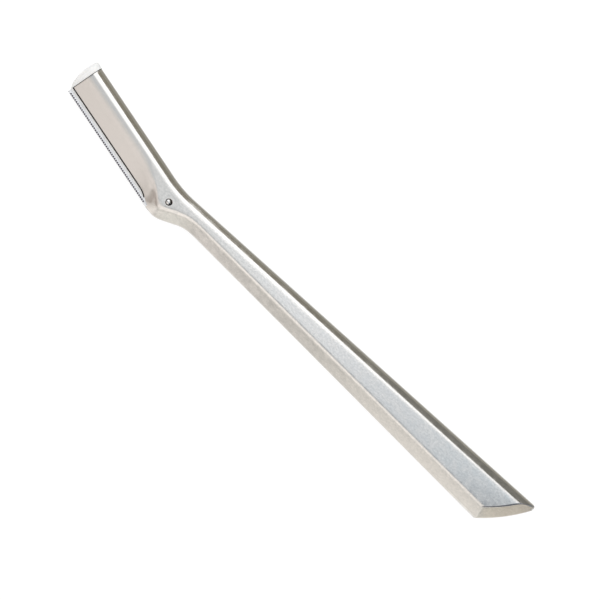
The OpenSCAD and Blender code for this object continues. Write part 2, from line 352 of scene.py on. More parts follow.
def roll(past, slope, length):
    """How far a face that rolls off the facet has dropped at that distance past their corner."""
    u = past / length + ROLL_BEFORE
    if u <= 0:
        return 0.0
    if u >= 1:
        return slope * past
    return slope * length * u ** (RIDGE_POWER + 1) / (RIDGE_POWER + 1)


def ridge_length(s):
    """Length over which the facet rolls off into the bevel, longest at the bulge."""
    start, end = RIDGE_BULGE_S
    return mix(RIDGE_L, RIDGE_BULGE_L, smooth((s - start) / (end - start)))


def plate_crest(x):
    return CREST_W + CREST_OUT * smooth((x - CREST_FROM_X) / (CREST_TO_X - CREST_FROM_X))


def plate_height(x, d):
    """Height of the head's slanted plate, drawn on past its crest and up its end's step."""
    crest = plate_crest(x)
    flat = HALF_T - (d - crest) * tan(face_tilt(HEAD_W, crest))
    start = soft_min(STEP_X + STEP_SKEW * (d - SPINE_Y), STEP_LAST_X, STEP_LAST_SOFT)
    past = max(0, x - start)
    foot = min(past, STEP_FOOT_L)
    return flat + STEP_SLOPE * (foot * foot / (2 * STEP_FOOT_L) + past - foot)


def soft_min(a, b, soft):
    near = max(soft - abs(a - b), 0) / soft
    return min(a, b) - near * near * soft / 4


def from_head(s, d):
    """Place of a section's point along the head and across it, from the head's spine."""
    x, y, turned = spine_at(s)
    x, y = in_head(x - d * sin(turned), y - d * cos(turned))
    return x, SPINE_Y - y


def height(s, d):
    """Height of the front face over the middle plane."""
    ridge = ridge_at(s)
    slope = tan(face_tilt(width(s), ridge))
    handle = HALF_T - roll(d - ridge, slope, ridge_length(s))
    x, below = from_head(s, d)
    start, end = STEP_SOFT_X
    soft = mix(STEP_SOFT, STEP_SOFT_PIN, smooth((x - start) / (end - start)))
    return soft_min(handle, plate_height(x, below), soft)


def half_section(s, window=True):
    """Front half of the section at s as (distance, height), from the spine to the blade side."""
    w = width(s)
    clip = (lip(s) if window else None) or w
    tilt = edge_tilt(s)
    edge = edge_point(w, tilt)
    if edge[0] <= clip:
        return top_points(s, edge) + edge_points(w, tilt, clip)
    start, corner = lip_rounding(s, clip, edge[0] - clip)
    ledge_end = min(lip(s, LEDGE_W) or w, w - EDGE_R / 2)
    return top_points(s, start) + lip_points(Vector(start), corner, ledge_end)


def edge_tilt(s):
    """Slope angle of the face where it runs into the round edge."""
    w = width(s)
    in_plate = smooth((PLATE_TILT_X - from_head(s, w)[0]) / PLATE_TILT_L)
    return mix(face_tilt(w, ridge_at(s)), face_tilt(HEAD_W, CREST_W), in_plate)


def edge_point(w, turn):
    """Point on the round edge of a section of width w."""
    return w - EDGE_R + EDGE_R * sin(turn), EDGE_R * cos(turn)


def edge_points(w, tilt, clip):
    """Round edge from the bevel down to the middle plane, cut off at the window's edge."""
    turns = [mix(tilt, pi / 2, i / EDGE_STEPS) for i in range(1, EDGE_STEPS + 1)]
    return [(min(d, clip), z) for d, z in (edge_point(w, turn) for turn in turns)]


def top_points(s, end):
    """Points from the spine over the facet and its ridge, and down the bevel to the end point."""
    turns = [pi / 2 * i / SPINE_STEPS for i in range(SPINE_STEPS + 1)]
    points = [(SPINE_W * (1 - cos(a)), HALF_T * sin(a)) for a in turns]
    ridge, roll_l = ridge_at(s), ridge_length(s)
    in_crest = smooth((CREST_LINES_S - s) / CREST_LINES_L)
    roll_start = mix(ridge - roll_l * ROLL_BEFORE, CREST_W, in_crest)
    roll_end = mix(ridge + roll_l * (1 - ROLL_BEFORE), CREST_W + CREST_L / 2, in_crest)
    spans = ((SPINE_W, roll_start, FACET_STEPS), (roll_start, roll_end, RIDGE_STEPS),
             (roll_end, end[0], BEVEL_STEPS))
    across = [mix(a, b, i / n) for a, b, n in spans for i in range(n)][1:]
    return points + [(d, height(s, d)) for d in across] + [end]


def lip_rounding(s, clip, cut):
    """Where the rounding of the lip's edge starts, and the corner that it rounds."""
    tilt = atan((height(s, clip - LIP_PROBE) - height(s, clip + LIP_PROBE)) / (2 * LIP_PROBE))
    corner = Vector((clip, height(s, clip)))
    reach = LIP_R * clamp(cut / LIP_ROUND_CUT)
    return (corner.x - reach * cos(tilt), corner.y + reach * sin(tilt)), corner


def lip_points(start, corner, ledge_end):
    """Round edge of the lip, the ledge below it, painted near-black as the shadow gap under the
    lip, and its wall, down to the middle plane.
    """
    foot = Vector((corner.x, corner.y - (start - corner).length))
    found = [tuple(p) for p in bend(start, corner, foot, LIP_STEPS)[1:]]
    ledge_z = min(LEDGE_Z, foot.y - LEDGE_DROP)
    found += [(foot.x, ledge_z), (mix(foot.x, ledge_end, 0.5), ledge_z), (ledge_end, ledge_z)]
    wall_steps = EDGE_STEPS - len(found)
    return found + [(ledge_end, ledge_z * (1 - i / wall_steps)) for i in range(1, wall_steps + 1)]


def whole(half):
    """Whole section from its front half."""
    return half + [(d, -z) for d, z in reversed(half[1:-1])]


def ring(s, section):
    """Section square to the spine line at s."""
    x, y, turned = spine_at(s)
    return [(x - d * sin(turned), y - d * cos(turned), z) for d, z in section]


# The oblique butt end, a large arc in plan that a small one joins to the spine
END_C = (BUTT_X - BUTT_R * sin(BUTT_ANGLE), SPINE_Y - BUTT_W + BUTT_R * cos(BUTT_ANGLE))
TIP_Y = SPINE_Y - TIP_R
TIP_C = (END_C[0] + sqrt((BUTT_R - TIP_R) ** 2 - (TIP_Y - END_C[1]) ** 2), TIP_Y)
TIP_JOIN_Y = END_C[1] + (TIP_C[1] - END_C[1]) * BUTT_R / (BUTT_R - TIP_R)


def end_x(y, inset):
    """Place along the handle of the large arc, moved in by the inset."""
    return END_C[0] + sqrt((BUTT_R - inset) ** 2 - (y - END_C[1]) ** 2)


def outline_x(y):
    """Place along the handle of the end's outline."""
    if y > TIP_JOIN_Y:
        return TIP_C[0] + sqrt(max(0, TIP_R ** 2 - (y - TIP_C[1]) ** 2))
    return end_x(y, 0)


def end_bevel(y, z):
    """Point of the end bevel at that height."""
    bevel_w = mix(END_BEVEL_W, END_BEVEL_LOW_W, clamp((SPINE_Y - y) / BUTT_W))
    inset = bevel_w * max(0, z - EDGE_R) / (HALF_T - EDGE_R)
    return Vector((min(end_x(y, inset), outline_x(y)), y, z))


def end_column(d, top):
    """Points along one line of the section, over the end's ridge and down its bevel."""
    y = SPINE_Y - d
    ridge = end_bevel(y, top)
    rim = Vector((outline_x(y), y, min(top, EDGE_R)))
    slope = rim - ridge
    third = slope.length / 3
    lead = Vector((min(END_RIDGE_W, third), 0, 0))
    down = slope.normalized()
    past = ridge + down * lead.x
    rim_w = min(END_RIM_W, third)
    before = rim - down * rim_w
    foot = Vector((rim.x, y, max(0, rim.z - rim_w)))
    heights = [mix(past.z, before.z, i / END_BEVEL_STEPS) for i in range(1, END_BEVEL_STEPS)]
    column = bend(ridge - lead, ridge, past, END_ROLL_STEPS)
    column += [end_bevel(y, z) for z in heights]
    return column + bend(before, rim, foot, END_ROLL_STEPS)


def butt_rings():
    """Rings over the oblique end, from its ridge down to the middle plane."""
    columns = [end_column(d, z) for d, z in half_section(BUTT_S)]
    rings = []
    for front in zip(*columns):
        back = [(p.x, p.y, -p.z) for p in reversed(front[1:-1])]
        rings.append([tuple(p) for p in front] + back)
    return rings


def mouth_rings():
    """Rounded rim of the sleeve's mouth, from its face inwards."""
    section = whole(half_section(MOUTH_S))
    rings = []
    for i in range(MOUTH_STEPS + 1):
        a = pi / 2 * i / MOUTH_STEPS
        share = 1 - MOUTH_R * (1 - sin(a)) / HALF_T
        lowered = [(d, z * share) for d, z in section]
        rings.append(ring(MOUTH_S + MOUTH_R * (1 - cos(a)), lowered))
    return rings


def stations():
    """Places of the sections along the spine line."""
    return [mix(a, b, i / n) for a, b, n in SECTION_SPANS for i in range(n)] + [LAST_S]


def strips(first, n):
    """Faces between the front and back halves of the ring that starts at first."""
    half = n // 2
    faces = [(first, first + 1, first + n - 1)]
    for i in range(1, half - 1):
        faces.append((first + i, first + i + 1, first + n - i - 1, first + n - i))
    return faces + [(first + half - 1, first + half, first + half + 1)]


def casting_blank():
    """Casting before its slot and bore are cut."""
    mouth = mouth_rings()
    rings = mouth + [ring(s, whole(half_section(s))) for s in stations()] + butt_rings()
    n = len(rings[0])
    faces = grid_faces(len(rings), n)
    # Below the lip's round edge the window's wall and ledge take a near-black painted shadow
    first = n // 2 - LEDGE_AT
    windowed = len(mouth) + sum(1 for s in stations() if lip(s)) - 1
    shadow_faces = [r * n + c for r in range(windowed) for c in range(first, n - first)]
    # The mouth's rounded rim takes the painted shadow too, as the dark seam line at the cap
    shadow_faces += range((len(mouth) - 1) * n)
    faces.append(tuple(reversed(range(n))))
    faces += strips((len(rings) - 1) * n, n)
    return add_mesh("casting", [p for r in rings for p in r], faces, shadow_faces=shadow_faces)


# How far the cutters reach past what they cut
OVERSHOOT = 1.0
BORE_OVERSHOOT = 0.02
POCKET_STEPS = 24


def slot_cutter():
    """Slot for the cartridge, open along the blade side, with the round pocket at the pin."""
    end = -HEAD_L - OVERSHOOT
    outline = [(end, SLOT_Y), (end, -HEAD_W), (-SLOT_OPEN_X, -HEAD_W), (-SLOT_OPEN_X, -SLOT_Y)]
    outline += arc((0, 0), SLOT_Y, -90, 90, POCKET_STEPS)
    return prism("slot_cutter", outline, -SLOT_T / 2, SLOT_T / 2)


# The pin's bore: its wall, and the dished rim round it at each facet, as (radius, height over
# the facet)
PIN_R = 0.75
BORE_RIM = [(1.85, 0.003), (1.75, -0.001), (1.6, -0.0035), (1.45, -0.0055), (1.35, -0.006),
            (1.25, -0.005), (1.15, -0.0035), (1.05, -0.002), (0.97, -0.001), (0.91, -0.004),
            (0.875, -0.028), (0.855, -0.12), (0.845, -0.6), (PIN_R, -0.68)]
# Below this depth under the facets the bore's wall takes the near-black painted shadow
BORE_SHADOW_DEPTH = 0.06


def bore_cutter():
    end = HALF_T + BORE_OVERSHOOT
    top = [(r, HALF_T + z) for r, z in BORE_RIM]
    profile = [(0, end)] + top + [(r, -z) for r, z in reversed(top)] + [(0, -end)]
    return lathe("bore_cutter", profile)


def dress(piece, body, node, slot, *materials):
    """Puts the piece on its body in the node's place, with its finish."""
    close_up(piece.data)
    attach(piece, body)
    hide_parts(node)
    slots = piece.data.materials
    for i, material in enumerate(materials):
        if i < len(slots):
            slots[i] = material
        else:
            slots.append(material)


def two_materials(piece):
    """Empty places for a finish and a second material: the painted shadow on the casting's cut
    walls, the painted shade on the blade's ground edge.
    """
    piece.data.materials.append(None)
    piece.data.materials.append(None)
    return piece


def make_painted_shadow(cutter, depth=0.0):
    """Gives the walls that the cutter leaves, below that depth under the facets, the second
    material: a near-black painted shadow.
    """
    top = PIN_PLACE.z + (HALF_T - depth) * MM
    low = PIN_PLACE.z - (HALF_T - depth) * MM
    for face in cutter.data.polygons:
        face.material_index = int(low < face.center.z < top)
    return two_materials(cutter)


def build_casting():
    casting = two_materials(casting_blank())
    carve(casting, make_painted_shadow(slot_cutter()))
    carve(casting, make_painted_shadow(bore_cutter(), BORE_SHADOW_DEPTH))
    casting.name = "handle_body"
    return casting


# Retaining pin: a dowel whose ends are spread out into the bore's rims and polished to domes
# that lean a little
PIN_SINK = 0.03
PIN_HEAD_R = 0.835
PIN_HEAD_H = 0.58
PIN_NECK_L = 0.06
PIN_DOME_R = 1.1
PIN_LEAN = (0.17, 0.05)
PIN_CHAMFER = 0.04
PIN_STEPS = 64
DOME_STEPS = 14


def build_pin():
    flat_r = PIN_HEAD_R - PIN_CHAMFER
    rings = [(flat_r * i / DOME_STEPS, 0.0) for i in range(DOME_STEPS + 1)]
    rings.append((PIN_HEAD_R, PIN_CHAMFER))
    front = [[pin_point(r, drop, i) for i in range(PIN_STEPS)] for r, drop in rings]
    head_z = HALF_T - PIN_HEAD_H
    for r, z in ((PIN_HEAD_R, head_z), (PIN_R, head_z - PIN_NECK_L)):
        front.append([(*pin_point(r, 0, i)[:2], z) for i in range(PIN_STEPS)])
    back = [[(x, y, -z) for x, y, z in points] for points in reversed(front)]
    points = [p for points in front + back for p in points]
    return add_mesh("pin_dowel", points, grid_faces(len(front + back), PIN_STEPS))


def pin_point(r, drop, i):
    """Point of the pin's domed end at radius r, that far below the dome."""
    a = 2 * pi * i / PIN_STEPS
    x, y = r * cos(a), r * sin(a)
    lean = PIN_LEAN[0] * x + PIN_LEAN[1] * y
    lean_low = hypot(*PIN_LEAN) ** 2 * PIN_DOME_R / 2
    return x, y, HALF_T - PIN_SINK - lean_low - r * r / (2 * PIN_DOME_R) - lean - drop


# Cartridge sizes, in the head's frame. GUARD_Y is the head's blade side.
RUN_GAP = 0.05
FILM_GAP = 0.01
FOIL_T = 0.1
CART_T = SLOT_T - 2 * RUN_GAP
CART_Y = SLOT_Y - RUN_GAP
CAP_X = HEAD_L + RUN_GAP
CAP_L = 2.05
CAP_PROUD = 0.1
CAP_T = BODY_T - 2 * RUN_GAP
STRIP_X = SLOT_OPEN_X + 0.35
STRIP_L = CAP_X - STRIP_X
PLASTIC_Y = GUARD_Y - 1.05
PLASTIC_R = 0.1
BLADE_Y = GUARD_Y - 0.18
BLADE_W = 3.52
BLADE_HALF = 0.1
GRIND_W = 0.4
HONE_W = 0.12
HONE_HALF = 0.036
GROUND_NORMAL = (0.1, 0.99)
SHOULDER_Y = BLADE_Y - BLADE_W - RUN_GAP
FORK_R = SLOT_Y - 3 * RUN_GAP
FORK_HOLE_R = PIN_R + RUN_GAP
FORK_LEAD = 0.28
FORK_LEAD_L = 1.5 * FORK_LEAD
SEAT_Z = BLADE_HALF + FILM_GAP
LEG_Z = SEAT_Z + FOIL_T
LEG_Y = GUARD_Y - 1.7
BEND_Y = GUARD_Y - LEG_Z
STAKE_R = 0.45
STAKE_HOLE_R = STAKE_R + RUN_GAP
STAKE_HEAD_R = 0.63
STAKE_HEAD_T = 0.154
STAKE_DOME_SHARE = 0.8
STAKE_Y = (SHOULDER_Y + LEG_Y) / 2
STAKE_N = 3
STAKES = [(-STRIP_X - STRIP_L * (i + 0.5) / STAKE_N, -STAKE_Y) for i in range(STAKE_N)]
STAKE_STEPS = 40
STAKE_HEAD_STEPS = 6
MOULD_R = 0.06
FORK_STEPS = 14
FORK_HOLE_STEPS = 28
PLASTIC_STEPS = 6

# The end cap in plan, and its section
CAP_TOP = SPINE_Y + CAP_PROUD
CAP_LOW = 1.3 - GUARD_Y - CAP_PROUD
CROWN_Y = mix(CAP_LOW, CAP_TOP, 0.72)
CAP_HALF = (CAP_TOP - CAP_LOW) * 0.735
CAP_DEPTH = CAP_L / (1 - sqrt(1 - ((CROWN_Y - CAP_LOW) / CAP_HALF) ** 2))
CAP_CORNER_R = CAP_L * 0.3
CAP_LOW_R = 0.45
CAP_SEAM_R = 0.09
CAP_SEAM_CUT = 0.3
CAP_POWER = 4.2
CAP_COLUMNS = 44
CAP_STEPS = 30
RAIL_END_X = -CAP_X - CAP_L / 4
MOUTH_HALF = half_section(MOUTH_S, window=False)


def cap_arc(y):
    """Reach of the cap's large arc."""
    return CAP_X + CAP_L - CAP_DEPTH * (1 - sqrt(1 - ((y - CROWN_Y) / CAP_HALF) ** 2))


CAP_CORNER = (cap_arc(CAP_TOP - CAP_CORNER_R) - CAP_CORNER_R, CAP_TOP - CAP_CORNER_R)


def cap_length(y):
    """How far the cap stands out past its seam."""
    if y > CAP_CORNER[1]:
        reach = CAP_CORNER[0] + sqrt(max(0, CAP_CORNER_R ** 2 - (y - CAP_CORNER[1]) ** 2))
        return reach - CAP_X
    return cap_arc(y) - CAP_X


def cap_half_t(y):
    """Half the cap's thickness at its seam, from the sleeve's own section."""
    d = CAP_TOP - y
    half_t = 0.0
    for (d0, z0), (d1, z1) in zip(MOUTH_HALF, MOUTH_HALF[1:]):
        if d0 <= d <= d1:
            half_t = mix(z0, z1, (d - d0) / (d1 - d0)) * CAP_T / BODY_T
    low = clamp((y - CAP_LOW) / CAP_LOW_R)
    return half_t * sqrt(1 - (1 - low) ** 2)


def cap_loop(y):
    """Loop round the cap at y: a crowned outside and a flat inner face with rounded edges."""
    length, half_t = cap_length(y), cap_half_t(y)
    seam = min(CAP_SEAM_R, length / 3, half_t / 3)
    cut = CAP_SEAM_CUT * seam
    loop = [(-CAP_X, y, half_t - seam), (-CAP_X - cut, y, half_t - cut)]
    for i in range(CAP_STEPS + 1):
        a = pi * i / CAP_STEPS
        out = seam + (length - seam) * sin(a) ** (2 / CAP_POWER)
        up = half_t * copysign(abs(cos(a)) ** (2 / CAP_POWER), cos(a))
        loop.append((-CAP_X - out, y, up))
    return loop + [(-CAP_X - cut, y, cut - half_t), (-CAP_X, y, seam - half_t)]


def end_cap():
    points = []
    for i in range(CAP_COLUMNS + 1):
        points += cap_loop(mix(CAP_LOW, CAP_TOP, (1 - cos(pi * i / CAP_COLUMNS)) / 2))
    n = len(cap_loop(0))
    return add_mesh("end_cap", points, grid_faces(CAP_COLUMNS + 1, n), -HEAD_ANGLE)


def rail_outline():
    """Middle plate of the moulding, with the fork that holds the pin."""
    mouth = degrees(asin((FORK_HOLE_R + FORK_LEAD) / FORK_R))
    lead_x = FORK_R * cos(radians(mouth)) - FORK_LEAD_L
    outline = [(RAIL_END_X, CART_Y), (RAIL_END_X, -SHOULDER_Y - MOULD_R),
               (-STRIP_X, -SHOULDER_Y - MOULD_R), (-STRIP_X, -FORK_R)]
    outline += arc((0, 0), FORK_R, -90, -mouth, FORK_STEPS)
    outline += [(lead_x, -FORK_HOLE_R)]
    outline += arc((0, 0), FORK_HOLE_R, 270, 90, FORK_HOLE_STEPS)
    outline += [(lead_x, FORK_HOLE_R)]
    outline += arc((0, 0), FORK_R, mouth, 90, FORK_STEPS)
    return outline + [(-STRIP_X, FORK_R), (-STRIP_X, CART_Y)]


def plastic_section(side, groove=0.0):
    """Section of the seat below the blade, or of the clamp above it."""
    inner = -SHOULDER_Y - groove
    leg, step = -LEG_Y + RUN_GAP, LEG_Z + FILM_GAP
    centre = (-PLASTIC_Y + PLASTIC_R, CART_T / 2 - PLASTIC_R)
    section = [(inner, SEAT_Z), (leg, SEAT_Z), (leg, step), (-PLASTIC_Y, step)]
    section += arc(centre, PLASTIC_R, 180, 90, PLASTIC_STEPS) + [(inner, CART_T / 2)]
    return [(y, side * z) for y, z in section]


def turned_in_head(name, profile, centre):
    """Small turned solid at a place in the head."""
    return lathe(name, profile, centre, -HEAD_ANGLE, steps=STAKE_STEPS)


def stake(centre):
    """Stake with its head formed over the clamp: low and rounded."""
    top = CART_T / 2
    head_z = top - STAKE_HEAD_T
    profile = [(0, -top), (STAKE_R, -top), (STAKE_R, head_z), (STAKE_HEAD_R, head_z)]
    for i in range(STAKE_HEAD_STEPS + 1):
        a = pi / 2 * i / STAKE_HEAD_STEPS
        drop = STAKE_HEAD_T * (1 - sin(a)) * STAKE_DOME_SHARE
        profile.append((STAKE_HEAD_R * cos(a), top - drop))
    return turned_in_head("stake", profile, centre)


def build_moulding():
    """Cap, rail, fork, seat and stakes in one white moulding."""
    rail = prism("rail", rail_outline(), -CART_T / 2, CART_T / 2)
    round_edges(rail, MOULD_R)
    seat = bar("seat", plastic_section(-1), -CAP_X - MOULD_R, -STRIP_X)
    carve(rail, seat, "UNION")
    for centre in STAKES:
        carve(rail, stake(centre), "UNION")
    carve(rail, end_cap(), "UNION")
    rail.name = "cartridge_moulding"
    return rail


def build_clamp():
    section = plastic_section(1, groove=RUN_GAP)
    strip = bar("clamp_strip", section, -CAP_X + RUN_GAP, -STRIP_X - RUN_GAP)
    round_edges(strip, MOULD_R / 2, segments=2)
    for centre in STAKES:
        carve(strip, stake_hole(centre))
    return strip


def stake_hole(centre):
    """Hole for a stake, with the seat of its head."""
    head_z = CART_T / 2 - STAKE_HEAD_T - FILM_GAP
    head_r = STAKE_HEAD_R + RUN_GAP
    profile = [(0, 0), (STAKE_HOLE_R, 0), (STAKE_HOLE_R, head_z), (head_r, head_z)]
    return turned_in_head("stake_hole", profile + [(head_r, CART_T), (0, CART_T)], centre)


def build_blade():
    """Steel strip with its edge ground from both sides, the last of it finer."""
    half = [(-SHOULDER_Y - RUN_GAP, BLADE_HALF), (GRIND_W - BLADE_Y, BLADE_HALF),
            (HONE_W - BLADE_Y, HONE_HALF), (-BLADE_Y, 0)]
    section = half + [(y, -z) for y, z in reversed(half[:-1])]
    blade = bar("edge_blade", section, -CAP_X + 2 * RUN_GAP, -STRIP_X - 2 * RUN_GAP)
    two_materials(blade)
    # The ground faces take the second material, a painted shade
    flattest, steepest = GROUND_NORMAL
    for face in blade.data.polygons:
        face.material_index = int(flattest < abs(face.normal.z) < steepest)
    hole = [(0, -CART_T), (STAKE_HOLE_R, -CART_T), (STAKE_HOLE_R, CART_T), (0, CART_T)]
    for centre in STAKES:
        carve(blade, turned_in_head("hole", hole, centre))
    return blade


# Guard: a foil folded over the edge, with a slot for every tooth
GUARD_CORNER_R = 0.9
GUARD_PITCH = 0.591
GUARD_END_R = 0.2
GUARD_END_X = SLOT_OPEN_X + 0.1
GUARD_SLOT_W = 0.42
GUARD_SLOT_L = 0.66
GUARD_L = CAP_X - STRIP_X - 2 * RUN_GAP
GUARD_SLOTS = int((GUARD_L - GUARD_CORNER_R) / GUARD_PITCH)
GUARD_PLAN_Y = 0.3 - LEG_Y
GUARD_CUT_Z = 1.0
FOLD_STEPS = 16
CORNER_STEPS = 10
GUARD_STEPS = 8


def guard_plan():
    """Outline of the foil, with its rounded corners at the edge."""
    tip, end = -CAP_X + RUN_GAP, -GUARD_END_X
    corner = (tip + GUARD_CORNER_R, GUARD_CORNER_R - GUARD_Y)
    end_corner = (end - GUARD_END_R, GUARD_END_R - GUARD_Y)
    outline = [(end, GUARD_PLAN_Y), (tip, GUARD_PLAN_Y)]
    outline += arc(corner, GUARD_CORNER_R, 180, 270, CORNER_STEPS)
    return outline + arc(end_corner, GUARD_END_R, 270, 360, GUARD_STEPS)


def guard_section():
    """Fold round the edge, with a leg along each side of the blade."""
    outer = arc((-BEND_Y, 0), LEG_Z, 90, 270, FOLD_STEPS)
    inner = arc((-BEND_Y, 0), SEAT_Z, 270, 90, FOLD_STEPS)
    legs = [(-LEG_Y, -LEG_Z), (-LEG_Y, -SEAT_Z)]
    return [(-LEG_Y, LEG_Z)] + outer + legs + inner + [(-LEG_Y, SEAT_Z)]


def guard_slot(x):
    """Outline of one slot, round at its inner end."""
    r = GUARD_SLOT_W / 2
    out = -GUARD_Y - OVERSHOOT
    centre = (x, GUARD_SLOT_L - r - GUARD_Y)
    return [(x - r, out), (x + r, out)] + arc(centre, r, 0, 180, GUARD_STEPS)


def guard_cutter():
    """All the slots in one mesh."""
    points, faces = [], []
    first = -CAP_X + RUN_GAP + (GUARD_L - (GUARD_SLOTS - 1) * GUARD_PITCH) / 2
    for i in range(GUARD_SLOTS):
        outline = guard_slot(first + i * GUARD_PITCH)
        start = len(points)
        points += [(x, y, z) for z in (-GUARD_CUT_Z, GUARD_CUT_Z) for x, y in outline]
        faces += [tuple(start + k for k in face) for face in end_and_side_faces(len(outline))]
    return add_mesh("guard_cutter", points, faces, -HEAD_ANGLE)


def build_guard():
    foil = bar("guard_foil", guard_section(), -CAP_X, -SLOT_OPEN_X)
    plan = prism("guard_plan", guard_plan(), -GUARD_CUT_Z, GUARD_CUT_Z)
    carve(foil, plan, "INTERSECT")
    carve(foil, guard_cutter())
    return foil


# Materials. Noise sizes and bump depths are in millimetres, and places in the frame's metres.

def new_material(name):
    material = bpy.data.materials.new(name)
    material.use_nodes = True
    nodes = material.node_tree.nodes
    return material, material.node_tree, nodes["Principled BSDF"]


def set_inputs(node, values):
    """Gives each input its value, or a link where the value is another node's output."""
    for key, value in values.items():
        if isinstance(value, bpy.types.NodeSocket):
            node.id_data.links.new(value, node.inputs[key])
        else:
            node.inputs[key].default_value = value


def add_node(tree, kind, values, **settings):
    node = tree.nodes.new("ShaderNode" + kind)
    for key, value in settings.items():
        setattr(node, key, value)
    set_inputs(node, values)
    return node


def own_metres(tree):
    return add_node(tree, "TexCoord", {}).outputs["Object"]


def noise(tree, size, detail=2.0, stretch=(1, 1, 1), turn=0.0):
    """Noise with features of that size in millimetres, turned about Z and then drawn out."""
    turned = add_node(tree, "Mapping", {"Vector": own_metres(tree), "Rotation": (0, 0, turn)})
    drawn = add_node(tree, "Mapping", {"Vector": turned.outputs[0], "Scale": stretch})
    values = {"Vector": drawn.outputs[0], "Scale": 1 / (size * MM), "Detail": detail}
    return add_node(tree, "TexNoise", values).outputs["Fac"]


def span(tree, value, low, high, from_low=0.0, from_high=1.0):
    """Value between low and high, as it goes from from_low to from_high."""
    values = {"Value": value, "From Min": from_low, "From Max": from_high,
              "To Min": low, "To Max": high}
    return add_node(tree, "MapRange", values).outputs["Result"]


def joined(tree, operation, a, b):
    return add_node(tree, "Math", {0: a, 1: b}, operation=operation).outputs[0]


def tone(tree, surface, value, tones, from_low, from_high):
    """Base colour between a dark and a light tone, by a value."""
    dark, light = tones
    share = span(tree, value, 0.0, 1.0, from_low, from_high)
    # 6, 7 and the output 2 are the node's sockets for colours
    blend = add_node(tree, "Mix", {0: share, 6: (*dark, 1), 7: (*light, 1)}, data_type="RGBA")
    set_inputs(surface, {"Base Color": blend.outputs[2]})
    return blend.outputs[2]


def along(tree, axis, low, high, start, end):
    """Value that goes from low to high between two places on an axis."""
    split = add_node(tree, "SeparateXYZ", {"Vector": own_metres(tree)})
    return span(tree, split.outputs[axis], low, high, start, end)


def relief(tree, surface, value, depth):
    """Bump, its depth in millimetres."""
    values = {"Height": value, "Strength": 1.0, "Distance": depth * MM}
    set_inputs(surface, {"Normal": add_node(tree, "Bump", values).outputs[0]})


# The part of a noise's range that the tones and the roughness follow
TONE_RANGE = (0.3, 0.7)
ROUGH_RANGE = (0.35, 0.65)


def roughen(tree, surface, value, rough):
    """Roughness between two limits, by a noise."""
    set_inputs(surface, {"Roughness": span(tree, value, *rough, *ROUGH_RANGE)})


def metal(name, tones, size, metallic=1.0):
    """Metal with clouds of that size in its colour."""
    material, tree, surface = new_material(name)
    set_inputs(surface, {"Metallic": metallic})
    tone(tree, surface, noise(tree, size, detail=3.0), tones, *TONE_RANGE)
    return material, tree, surface


def lined_metal(name, tones, clouds, lines, stretch, rough, depth,
                turn=HEAD_ANGLE, detail=2.0, metallic=1.0):
    """Metal with fine lines in its roughness and relief."""
    material, tree, surface = metal(name, tones, clouds, metallic)
    drawn = noise(tree, lines, detail, stretch, turn)
    roughen(tree, surface, drawn, rough)
    relief(tree, surface, drawn, depth)
    return material


# Satin steel: blasted, so it is finely grained and cloudy, and then brushed a little across. The
# head's plate and the slopes below the facets are finished finer, and the handle's low side has a
# painted highlight that brightens it towards its edge.
STEEL_TONES = ((0.715, 0.705, 0.685), (0.86, 0.84, 0.81))
STEEL_RANGE = (-0.17, 0.17)
STEEL_ROUGH = (0.13, 0.2)
STEEL_RELIEF = 0.001
GRAIN = {"size": 0.42, "detail": 3.0, "stretch": (0.65, 1, 1)}
GRAIN_SHARE = 0.36
CLOUDS = {"size": 1.6, "detail": 3.0, "stretch": (0.7, 1, 1), "turn": radians(25)}
CLOUDS_SHARE = 0.24
BRUSHED = {"size": 0.16, "stretch": (1, 0.12, 0.12), "turn": radians(-12)}
BRUSHED_SHARE = 0.3
PLATE_GRAIN = 0.3
PLATE_TO_X = (-0.047, -0.041)
SLOPE_GRAIN = 0.6
SLOPE_Z = (0.0036, 0.0044)
# Painted highlight on the handle's low side: its share and where it fades in
LOW_SIDE_HIGHLIGHT = 0.12
HIGHLIGHT_X = (-0.030, -0.012)
HIGHLIGHT_Y = (-0.0022, -0.0010)
HIGHLIGHT_Z = (0.0026, 0.0045)


def satin_steel():
    material, tree, surface = new_material("satin_steel")
    set_inputs(surface, {"Metallic": 1.0})
    grain = noise(tree, **GRAIN)
    clouds = noise(tree, **CLOUDS)
    brushed = noise(tree, **BRUSHED)
    mottle = joined(tree, "ADD", span(tree, grain, -GRAIN_SHARE, GRAIN_SHARE),
                    span(tree, clouds, -CLOUDS_SHARE, CLOUDS_SHARE))
    coarse = joined(tree, "MULTIPLY", along(tree, "X", PLATE_GRAIN, 1.0, *PLATE_TO_X),
                    along(tree, "Z", SLOPE_GRAIN, 1.0, *SLOPE_Z))
    mottle = joined(tree, "MULTIPLY", mottle, coarse)
    color = tone(tree, surface, mottle, STEEL_TONES, *STEEL_RANGE)
    highlighted = add_node(tree, "VectorMath", {0: color, "Scale": low_side_highlight(tree)}, operation="SCALE")
    set_inputs(surface, {"Base Color": highlighted.outputs[0]})
    roughen(tree, surface, clouds, STEEL_ROUGH)
    texture = joined(tree, "ADD", grain, span(tree, brushed, 0, BRUSHED_SHARE))
    relief(tree, surface, joined(tree, "MULTIPLY", texture, coarse), STEEL_RELIEF)
    return material


def low_side_highlight(tree):
    """1, and up to the highlight's share more on the handle's low side, where it nears the edge: a
    painted highlight.
    """
    handle = joined(tree, "MULTIPLY", along(tree, "X", 0.0, 1.0, *HIGHLIGHT_X),
                    along(tree, "Y", 1.0, 0.0, *HIGHLIGHT_Y))
    low = joined(tree, "MULTIPLY", handle, along(tree, "Z", 1.0, 0.0, *HIGHLIGHT_Z))
    return span(tree, low, 1.0, 1.0 + LOW_SIDE_HIGHLIGHT)


